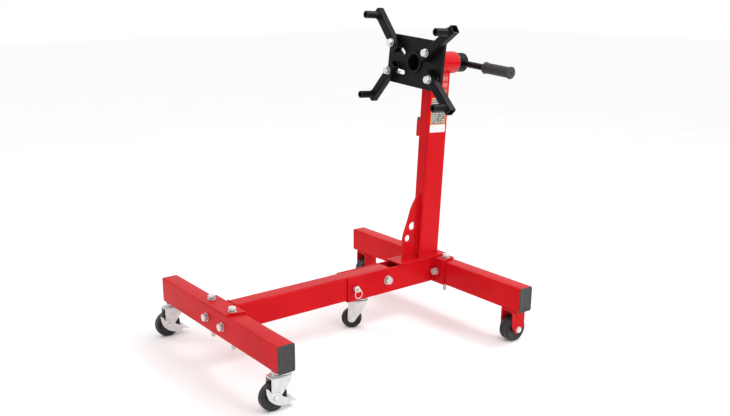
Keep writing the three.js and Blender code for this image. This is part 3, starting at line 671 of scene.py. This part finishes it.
def gusset():
    y0 = (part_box("gusset")[0].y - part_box("front_crossbar")[0].y) * 1000

    def rear(z):
        return POST_FRONT + (z - FOOT_Z) * math.tan(math.radians(LEAN))

    edge = [(rear(GUSSET_TOP) - 3, 390), (714, 371), (702, 352), (694, 332), (686, 308), (677, 286),
            (669, 264), (y0, 250)]
    curve = []
    for i in range(len(edge) - 1):
        a, b = Vector(edge[max(i - 1, 0)]), Vector(edge[i])
        c, d = Vector(edge[i + 1]), Vector(edge[min(i + 2, len(edge) - 1)])
        curve += [curve_point(a, b, c, d, k / 5) for k in range(5)]
    outline = [(y0, FOOT_Z), (rear(FOOT_Z), FOOT_Z), (rear(GUSSET_TOP), GUSSET_TOP)] + curve + [edge[-1]]
    holes = [circle(12.5, 48, 704, 288), circle(10.5, 40, 686, 251), slot_outline(710, 233, 710, 241, 3)]
    bm = bmesh.new()
    plate(bm, outline, "x", -3, 3, holes)
    piece("gusset_plate", bm, STAND, "frame", RED, ["gusset"], bevel=0.8)
    for label, side in SIDES:
        x = side * 3.6
        foot = [(x, y, FOOT_Z + 0.6) for y in (y0 + 2, 717)]
        weld(f"gusset_foot_weld_{label}", foot, STAND, "frame", radius=2.2)
        back = [(x, rear(z) - 0.8, z) for z in (190, 388)]
        weld(f"gusset_post_weld_{label}", back, STAND, "frame", radius=2.2)


def housing():
    bore, front = 29.4, -80.0
    bm = bmesh.new()
    back = HOUSING_BACK - 0.3
    lathe(bm, [(bore, front), (HOUSING_R - 1, front), (HOUSING_R, front + 1), (HOUSING_R, back - 0.9),
               (HOUSING_R - 0.5, back), (HOUSING_R - 1, back), (bore, back)], "y", 96)
    piece("head_housing_tube", bm, HEAD, "frame", RED, ["head_housing"], angle=35)
    bm = bmesh.new()
    lathe(bm, [(bore, HOUSING_BACK - 2), (bore, HOUSING_BACK), (HOUSING_R - 0.8, HOUSING_BACK),
               (HOUSING_R - 0.2, HOUSING_BACK - 0.5), (HOUSING_R - 0.2, HOUSING_BACK - 2)], "y", 96)
    piece("head_housing_end_face", bm, HEAD, "frame", EDGE_STEEL, angle=35)


def holder():
    width, depth = 18.0, 26.0
    x, y = -POST_W / 2 - GAP - width / 2, -22.0
    low, high = -226.0, -178.0
    bm = bmesh.new()
    tube(bm, rounded_rect(width, depth, 3), rounded_rect(width - 5, depth - 5, 1), "z", low, high)
    piece("side_holder_tube", bm, HEAD @ at((x, y, 0)), "frame", RED, ["side_holder"], bevel=0.4, angle=60)
    bm = bmesh.new()
    rings = []
    for inset, rise in ((3.0, -14), (2.9, -13), (2.9, GAP), (0.6, GAP), (0.5, 1), (0.5, 7.5), (0.9, 9),
                        (2.0, 9.8), (3.6, 10)):
        rings.append([(u, v, high + rise) for u, v in rounded_rect(width - 2 * inset, depth - 2 * inset, 3)])
    loft(bm, rings)
    piece("side_holder_cap", bm, HEAD @ at((x, y, 0)), "frame", PLASTIC, ["side_holder_plug"])
    for label, dy in (("front", -depth / 2 - 0.4), ("rear", depth / 2 + 0.4)):
        seam = [(x + width / 2, y + dy, z) for z in (low + 4, high - 4)]
        weld(f"side_holder_weld_{label}", seam, HEAD, "frame", radius=2)


post()
gusset()
housing()
holder()


# ------------------------------------------------------------------ stickers on the right face of the post
def sticker(name, material, y0, y1, z0, z1):
    face = POST_W / 2
    bm = bmesh.new()
    outline = [(y, z) for y, z in round_corners([(y0, z0), (y1, z0), (y1, z1), (y0, z1)], 2)]
    plate(bm, outline, "x", face + 0.05, face + 0.3)
    uv = bm.loops.layers.uv.new("print")
    for f in bm.faces:
        for corner in f.loops:
            corner[uv].uv = ((corner.vert.co.y - y0) / (y1 - y0), (corner.vert.co.z - z0) / (z1 - z0))
    piece(name, bm, HEAD, "frame", material)


ORANGE, WHITE, PAINT = (0.80, 0.20, 0.012), (0.86, 0.86, 0.84), (0.52, 0.010, 0.012)
lower = printed("notice_lower_print", ORANGE, (0.07, 0.065, 0.06), (0.46, 0.43, 0.38), 13)
sticker("notice_lower", lower, -31, 31, -186, -104)
strip = printed("notice_strip_print", (0.80, 0.80, 0.78), WHITE, (0.62, 0.62, 0.62), 3)
sticker("notice_strip", strip, -31, 31, -210, -187)
small = printed("notice_small_print", (0.56, 0.10, 0.09), PAINT, (0.60, 0.16, 0.15), 3)
sticker("notice_small", small, 10, 30, -92, -34)

# ------------------------------------------------------------------ lock pin and its ring
LOCK = STAND @ at((0, LOCK_Y, PIVOT_Z))
bm = bmesh.new()
tip = TUBE_W / 2 + 0.6
lathe(bm, [(0, tip), (4.6, tip), (5.6, tip + 0.5), (6, tip + 1.2), (6, 40), (9.4, 40), (10, 40.6), (10, 42.8),
           (9.4, 43.4), (6.1, 43.6), (5.5, 44.4), (5.5, 52.4), (5, 53.6), (3.8, 54.5), (0, 54.5)], "x", 56)
piece("lock_pin_body", bm, LOCK, "lock_pin", ZINC, ["lock_pin"], angle=35)
bm = bmesh.new()
RING_R, RING_WIRE = 13, 1.4
turns = [TAU * i / 64 for i in range(64)]
path = [(49, RING_R * math.sin(a), RING_R * (math.cos(a) - 1)) for a in turns]
sweep(bm, path, lambda run: RING_WIRE, count=14, closed=True)
piece("lock_pin_pull", bm, LOCK, "lock_pin", ZINC, ["lock_pin_ring"], angle=80)


# ------------------------------------------------------------------ casters
MOUNT_Z = 99.7
CROWN = MOUNT_Z - 9.3
AXLE_HOLE = 4.7


def caster_mount(name, place, body):
    bm = bmesh.new()
    z = MOUNT_Z
    lathe(bm, [(0, z), (25.4, z), (26, z - 0.5), (26, z - 2.5), (25.4, z - 3), (21.5, z - 3), (21.5, z - 6.2),
               (23.8, z - 6.2), (25, z - 7), (25, z - 8), (24.2, CROWN + GAP), (6.5, CROWN + GAP),
               (6.5, CROWN - 3 - GAP), (8, CROWN - 3 - GAP), (0, CROWN - 3 - GAP)], "z", 72)
    hex_bm = bmesh.new()
    hex_block(hex_bm, 10, 0.3, CROWN - 7, CROWN - 3 - GAP, True, False)
    hex_mesh = bpy.data.meshes.new("kingpin_nut")
    hex_bm.to_mesh(hex_mesh)
    hex_bm.free()
    bm.from_mesh(hex_mesh)
    bpy.data.meshes.remove(hex_mesh)
    piece(f"{name}_race", bm, place, body, ZINC, [f"{name}_mount"], angle=32)
    bm = bmesh.new()
    lathe(bm, [(21.6, z - 3.1), (23.2, z - 3.3), (23.8, z - 4.6), (23.2, z - 5.9), (21.6, z - 6.1)], "z", 72)
    piece(f"{name}_seal", bm, place, body, PLASTIC, angle=60)


def caster_fork(name, place, body, radius, width, trail):
    """Pressed fork: each leg bulges out under the round crown and flattens towards the axle."""
    inner = width / 2 + 0.8
    outer = inner + 2.5
    eye, split = 12.0, 66.0
    arc = [(-trail + eye * math.cos(a), radius + eye * math.sin(a))
           for a in (math.pi + (math.pi - 0.5) * k / 16 for k in range(17))]
    tail = Vector(arc[-1])

    def front(z):
        return -trail - 12 + 2 * max(0.0, z - radius) / (CROWN - radius)

    def rear(z):
        if z > CROWN - 20:
            return 16 + 7 * (z - CROWN + 20) / 20
        return tail.x + (16 - tail.x) * (z - tail.y) / (CROWN - 20 - tail.y)

    bm = bmesh.new()
    for s in (-1, 1):
        lo, hi = sorted((s * inner, s * outer))
        leg = [(rear(split), split), (front(split), split)] + arc
        plate(bm, leg, "x", lo, hi, [circle(AXLE_HOLE, 32, -trail, radius)])
        rows = []
        for z in [split - 0.5 + (CROWN - 1.2 - split) * k / 10 for k in range(11)]:
            swell = 5.5 * max(0.0, (z - split) / (CROWN - split)) ** 1.6
            across = [front(z) + (rear(z) - front(z)) * k / 12 for k in range(13)]
            bow = [swell * (1 - (2 * k / 12 - 1) ** 2) for k in range(13)]
            rows.append([(s * (outer + w), y, z) for y, w in zip(across, bow)]
                        + [(s * (inner + w), y, z) for y, w in reversed(list(zip(across, bow)))])
        loft(bm, rows)
    piece(f"{name}_legs", bm, place, body, ZINC, [f"{name}_fork"], bevel=0.5, angle=35)
    bm = bmesh.new()
    disc = [(25.6 * math.cos(math.radians(a)), 25.6 * math.sin(math.radians(a))) for a in range(-28, 209, 6)]
    wide, narrow = outer + 1, outer - 2
    plan = disc + [(-wide, -trail - 7), (-narrow, -trail - 10), (narrow, -trail - 10), (wide, -trail - 7)]
    plate(bm, plan, "z", CROWN - 3, CROWN, [circle(6.9, 32)])
    piece(f"{name}_crown", bm, place, body, ZINC, bevel=0.9)


def rolling_wheel(name, place, body, node, radius, width, bore, hub):
    """Moulded wheel with a crowned tread, dished sides, a hub and a fine parting line."""
    half = width / 2
    profile = [(bore, -half), (hub, -half), (hub + 1.2, -half + 1.0), (hub + 2.2, -half + 3.2),
               (radius * 0.66, -half + 3.6), (radius * 0.72, -half + 2.6), (radius * 0.76, -half + 0.8),
               (radius - 5, -half + 0.3), (radius - 2.6, -half + 0.9), (radius - 1.1, -half + 2.2),
               (radius - 0.45, -half + 4.2), (radius - 0.12, -half + 7.5), (radius, -0.5),
               (radius - 0.25, -0.25)]
    mirror = [(r, -h) for r, h in reversed(profile)]
    bm = bmesh.new()
    lathe(bm, profile + mirror, "x", 96)
    piece(f"{name}_moulding", bm, place, body, WHEEL, [node], angle=50)
    if radius > 33:  # the larger wheels have no rim ring
        return
    bm = bmesh.new()
    for side in (-1, 1):
        ridge = ((2, 3.2), (3.4, 2.4), (4.8, 3.4))
        lathe(bm, [(hub + out, side * (half - down)) for out, down in ridge], "x", 64)
    piece(f"{name}_rim_ring", bm, place, body, WHEEL, angle=60)


def axle(name, place, body, node, half_grip, shank, head):
    """Round-headed rivet on casters, hexagon on the larger rear axles."""
    near, far = half_grip + GAP, half_grip + GAP + 5
    bm = bmesh.new()
    if head > 9:
        lathe(bm, [(0, -near), (shank, -near), (shank, near), (0, near)], "z", 32)
        hex_block(bm, head, 0.2, near + 1.2, far, False, True)
        hex_block(bm, head, 0.5, -far, -near - 1.2, True, False)
        for s in (-1, 1):
            washer = ((shank, near), (head, near), (head, near + 1.2), (shank, near + 1.2))
            lathe(bm, [(r, s * h) for r, h in washer], "z", 48)
        place = place @ turn(90, "Y")
    else:
        cap = [(shank * 0.6, far - 0.2), (head * 0.52, far - 0.5), (head * 0.62, far - 1.6),
               (head * 0.82, far - 2.2), (head, far - 3.0), (head, near)]
        profile = [(0, -far + 1.2), (shank * 0.45, -far + 1.0)] + [(r, -h) for r, h in cap] + [(shank, -near)]
        profile += [(shank, near)] + list(reversed(cap)) + [(shank * 0.45, far - 1.0), (0, far - 1.2)]
        lathe(bm, profile, "x", 48)
    piece(f"{name}_pin", bm, place, body, ZINC, [node], angle=32)


def brake(name, place, body, node, fork_half):
    """Lever with a side plate on each side of the fork; only the right one has a horn in front."""
    shared = [(-19, -1), (-5, -14.5), (9, -22), (20, -25.2), (33, -24.6), (47, -20), (55, -22.4), (60, -24.3),
              (60.6, -21.8), (54, -17), (47, -13), (34, -8), (20, 0), (12, 10), (0, 14), (-12, 16)]
    horn = smooth_outline(shared + [(-19, 26), (-26.6, 32.6), (-26.8, 24), (-25, 12)], 5)
    blunt = smooth_outline(shared + [(-22, 18), (-24, 10)], 5)
    bm = bmesh.new()
    near, far = fork_half + GAP, fork_half + GAP + 2
    plate(bm, horn, "x", near, far, [circle(AXLE_HOLE, 32)])
    plate(bm, blunt, "x", -far, -near, [circle(AXLE_HOLE, 32)])
    piece(f"{name}_sides", bm, place, body, ZINC, [node], bevel=0.5)
    bm = bmesh.new()
    tread = [(43, -21.3), (47, -19.6), (54, -21.9), (60, -24.2), (60.9, -22), (54, -19.2), (47, -16.8),
             (43, -18.5)]
    rings = []
    for x in range(-9, 10):
        t = x / 9
        rings.append([(t * (fork_half + GAP + 1), u, v - 0.5 * (1 - t * t)) for u, v in tread])
    loft(bm, rings)
    piece(f"{name}_pedal", bm, place, body, ZINC, bevel=0.5, angle=30)
    bm = bmesh.new()
    for s in (-1, 1):
        lathe(bm, [(8.2, s * far), (8.2, s * (far + 0.05)), (9.4, s * (far + 0.7)), (11.6, s * (far + 0.7)),
                   (12.8, s * (far + 0.05)), (12.8, s * far)], "x", 56)
    piece(f"{name}_embossing", bm, place, body, ZINC, angle=60)


def caster(name, place, fixed, fork_body, wheel_body, brake_body, radius, width, trail):
    fork_half = width / 2 + 3.3
    hub = place @ at((0, -trail, radius))
    caster_mount(name, place, fixed)
    caster_fork(name, place, fork_body, radius, width, trail)
    rolling_wheel(f"{name}_wheel", hub, wheel_body, f"{name}_wheel", radius, width, 4.6, 11)
    axle(f"{name}_axle", hub, fork_body, f"{name}_axle", fork_half + (GAP + 2 if brake_body else 0), 4.3, 7.5)
    if brake_body:
        brake(f"{name}_brake", hub, brake_body, f"{name}_brake", fork_half)


for label, _ in SIDES:
    caster(f"front_caster_{label}", caster_frame(f"front_swivel_{label}", f"front_spin_{label}"), "front_leg",
           f"front_caster_{label}", f"front_wheel_{label}", f"front_brake_{label}", 37.5, 24.0, 28.0)
caster("mid_caster", caster_frame("mid_swivel", "mid_spin"), "frame", "mid_caster", "mid_wheel", None,
       31.0, 22.0, 24.0)


# ------------------------------------------------------------------ rear wheels
def rear_wheel(label):
    hub = Vector(JOINTS[f"rear_spin_{label}"]["pos_m"])
    place = at((hub.x, hub.y, 0)) @ MM
    inner, outer, half, top, radius = 20.0, 24.0, 25.0, MOUNT_Z, 38.0
    side = round_corners([(-half, top), (-half, 50), (-9, 26), (9, 26), (half, 50), (half, top)], 4)
    bm = bmesh.new()
    for lo, hi in ((inner, outer), (-outer, -inner)):
        plate(bm, side, "x", lo, hi, [circle(6.4, 40, 0, radius)])
    piece(f"rear_bracket_{label}_legs", bm, place, "frame", RED, [f"rear_bracket_{label}"], bevel=0.9)
    bm = bmesh.new()
    crown = round_corners([(-outer, -half), (outer, -half), (outer, half), (-outer, half)], 2)
    plate(bm, crown, "z", top - 4, top)
    piece(f"rear_bracket_{label}_crown", bm, place, "frame", RED, bevel=0.9)
    for tag, s in SIDES:
        seam = [(s * (outer - 0.5), y, top) for y in (-21, 21)]
        weld(f"rear_bracket_{label}_weld_{tag}", seam, place, "frame", radius=2.0)
    at_hub = place @ at((0, 0, radius))
    wheel = f"rear_wheel_{label}"
    rolling_wheel(wheel, at_hub, wheel, wheel, radius, 36.0, 6.4, 14)
    axle(f"rear_axle_{label}", at_hub, "frame", f"rear_axle_{label}", 24.0, 6.0, 9.5)


for label, _ in SIDES:
    rear_wheel(label)

# ------------------------------------------------------------------ turning head
PLATE_FRONT, PLATE_STEEL, SLOT_HALF = 92.0, 8.0, 6.9
HANDLE_BACK, HANDLE_R, SPINDLE_R = 87.0, 9.6, 29.0
ARM_AHEAD = 105.0  # from the head's centre to the arm joints, along the spindle


def spindle():
    bore, rear = 25.0, 104.0
    bm = bmesh.new()
    lathe(bm, [(bore, -96), (bore + 1, -97), (SPINDLE_R - 0.8, -97), (SPINDLE_R, -96.2),
               (SPINDLE_R, rear - 1), (SPINDLE_R - 1, rear), (bore + 1, rear), (bore, rear - 1)], "y", 96)
    obj = piece("head_spindle_tube", bm, ROTOR, "head", BLACK, ["head_spindle"], angle=35)
    drill(obj, ROTOR, HANDLE_R + 0.4, -60, 60, (HANDLE_BACK, 0), 35)
    weld("head_spindle_collar", [(x, -94.4, z) for x, z in circle(31, 72)], ROTOR, "head", BLACK, radius=2.2,
         closed=True)


def mounting_plate():
    holes = [circle(SPINDLE_R + GAP, 72)]
    for s in (-1, 1):
        holes.append(slot_outline(s * 52, 21.3, s * 100, 57.8, SLOT_HALF))
        holes.append(slot_outline(s * 46, -36.5, s * 106, -36.5, SLOT_HALF))
    bm = bmesh.new()
    plate(bm, rounded_rect(240, 144, 4), "y", -PLATE_FRONT, -PLATE_FRONT + PLATE_STEEL, holes)
    piece("mounting_plate_steel", bm, ROTOR, "head", BLACK, ["mounting_plate"], bevel=0.7)
    seam = [(x, -PLATE_FRONT + PLATE_STEEL + 0.6, z) for x, z in circle(SPINDLE_R + 0.8, 72)]
    weld("mounting_plate_weld", seam, ROTOR, "head", BLACK, closed=True)


def handle():
    place = ROTOR @ at((0, HANDLE_BACK, 0))
    bm = bmesh.new()
    lathe(bm, [(0, -45), (HANDLE_R - 1.6, -45), (HANDLE_R - 0.6, -44.6), (HANDLE_R, -43.4), (HANDLE_R, 210),
               (0, 210)], "x", 56)
    piece("handle_bar_steel", bm, place, "handle", BLACK, ["handle_bar"], angle=35)
    bm = bmesh.new()
    count, start, end = 120, 124.0, 215.0
    profile = [(HANDLE_R + GAP, 118.0), (17, 118.0), (17.8, 118.6), (18, 119.6), (17.8, 121.2), (17, 121.9),
               (15.6, 122.6)]
    rings = [[spot("x", u, v, h) for u, v in circle(r, count)] for r, h in profile]
    rows, ribs, twist, ceiling = 110, 12, 0.78, 16.4
    for i in range(rows + 1):
        x = start + (end - start) * i / rows
        fade = min(1.0, (x - start) / 3, (end - x) / 3)
        ring = []
        for k in range(count):
            a = TAU * k / count
            right = math.sin(ribs * a + x * twist)
            left = math.sin(ribs * a - x * twist)
            r = min(15.4 + 0.9 * fade * max(0.0, 0.5 + 0.5 * min(right, left) * 1.6), ceiling)
            ring.append((x, r * math.cos(a), r * math.sin(a)))
        rings.append(ring)
    tail = [(15.6, 215.6), (17, 216.2), (17.8, 216.9), (18, 218), (18, 220.4), (17.4, 221.6), (16.2, 222),
            (5.5, 222), (4.2, 221.4), (3.2, 219.5), (0.6, 218.2)]
    rings += [[spot("x", u, v, h) for u, v in circle(r, count)] for r, h in tail]
    loft(bm, rings)
    piece("handle_grip_rubber", bm, place, "handle", RUBBER, ["handle_grip"], angle=50)


def arm(label):
    joint = Vector(JOINTS[f"arm_swing_{label}"]["pos_m"])
    place = at(joint) @ TILT @ turn(ROLL - ARM_ANGLES[label], "Y") @ MM @ at((0, ARM_AHEAD, 0))
    size, wall, tail, reach, tip = 25.0, 2.5, 28.0, 105.0, 18.0
    back = -PLATE_FRONT - GAP
    middle = back - size / 2
    bm = bmesh.new()
    outer, inner = rounded_rect(size, size, 3.2, 5), rounded_rect(size - 2 * wall, size - 2 * wall, 1.0, 5)
    tube(bm, outer, inner, "x", -tail, reach + tip)
    body = f"arm_{label}"
    piece(f"arm_{label}_tube", bm, place @ at((0, middle, 0)), body, BLACK, [body], bevel=0.35, angle=60)
    face, mouth = back - size, -PLATE_FRONT - 73
    bm = bmesh.new()
    bore, rim = 6.75, 11
    lathe(bm, [(bore, mouth + 0.6), (7.5, mouth), (10.3, mouth), (rim, mouth + 0.7), (rim, face + 1),
               (bore, face + 1)], "y", 64, (reach, 0))
    piece(f"arm_{label}_boss", bm, place, body, BLACK, angle=35)
    seam = [(x, face - 0.4, z) for x, z in circle(rim + 0.6, 48, reach, 0)]
    weld(f"arm_{label}_weld", seam, place, body, BLACK, closed=True, radius=2.0)
    seat = at(joint) @ TILT @ turn(ROLL, "Y") @ MM @ at((0, ARM_AHEAD + face, 0)) @ turn(90, "X")
    bolt(f"arm_bolt_{label}_hex", seat, f"arm_bolt_{label}", f"arm_bolt_{label}", size + GAP + PLATE_STEEL)


spindle()
mounting_plate()
handle()
for label in ARM_ANGLES:
    arm(label)


# ------------------------------------------------------------------ floor, light and camera
def stage():
    bm = bmesh.new()
    bmesh.ops.create_grid(bm, x_segments=2, y_segments=2, size=14)
    mesh = bpy.data.meshes.new("floor")
    bm.to_mesh(mesh)
    bm.free()
    mesh.materials.append(floor_surface())
    floor = bpy.data.objects.new("floor", mesh)
    bpy.context.scene.collection.objects.link(floor)
    world = bpy.data.worlds.new("studio")
    world.use_nodes = True
    background = world.node_tree.nodes["Background"]
    background.inputs["Color"].default_value = (1, 1, 1, 1)
    background.inputs["Strength"].default_value = 1.0
    bpy.context.scene.world = world


def softbox(name, position, target, size, power):
    light = bpy.data.lights.new(name, "AREA")
    light.shape, light.size, light.size_y, light.energy = "RECTANGLE", size[0], size[1], power
    obj = bpy.data.objects.new(name, light)
    bpy.context.scene.collection.objects.link(obj)
    obj.location = position
    obj.rotation_euler = (Vector(target) - Vector(position)).to_track_quat("-Z", "Y").to_euler()


def camera():
    azimuth, elevation, distance = math.radians(53.0), math.radians(16.43), 2.525
    focus = Vector((0, 0.45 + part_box("front_crossbar")[0].y, 0.30))
    back = Vector((math.sin(azimuth) * math.cos(elevation), -math.cos(azimuth) * math.cos(elevation),
                   math.sin(elevation)))
    right = Vector((math.cos(azimuth), math.sin(azimuth), 0))
    up = back.cross(right)
    data = bpy.data.cameras.new("camera")
    data.sensor_width, data.sensor_fit = 36.0, "HORIZONTAL"
    data.lens = 42.070685
    data.shift_x, data.shift_y = 0.0247, 0.0384
    obj = bpy.data.objects.new("camera", data)
    bpy.context.scene.collection.objects.link(obj)
    obj.matrix_world = at(focus + back * distance) @ Matrix((right, up, back)).transposed().to_4x4()
    bpy.context.scene.camera = obj


stage()
softbox("key", (0.75, 1.45, 2.2), (0, -0.1, 0.2), (0.9, 0.6), 22)
softbox("side", (2.3, 0.6, 1.5), (0, 0, 0.4), (1.0, 1.4), 12)
softbox("edge", (-1.9, -1.1, 1.5), (0, -0.4, 0.2), (0.5, 0.8), 7)
camera()
bpy.context.scene.view_settings.view_transform = "Standard"
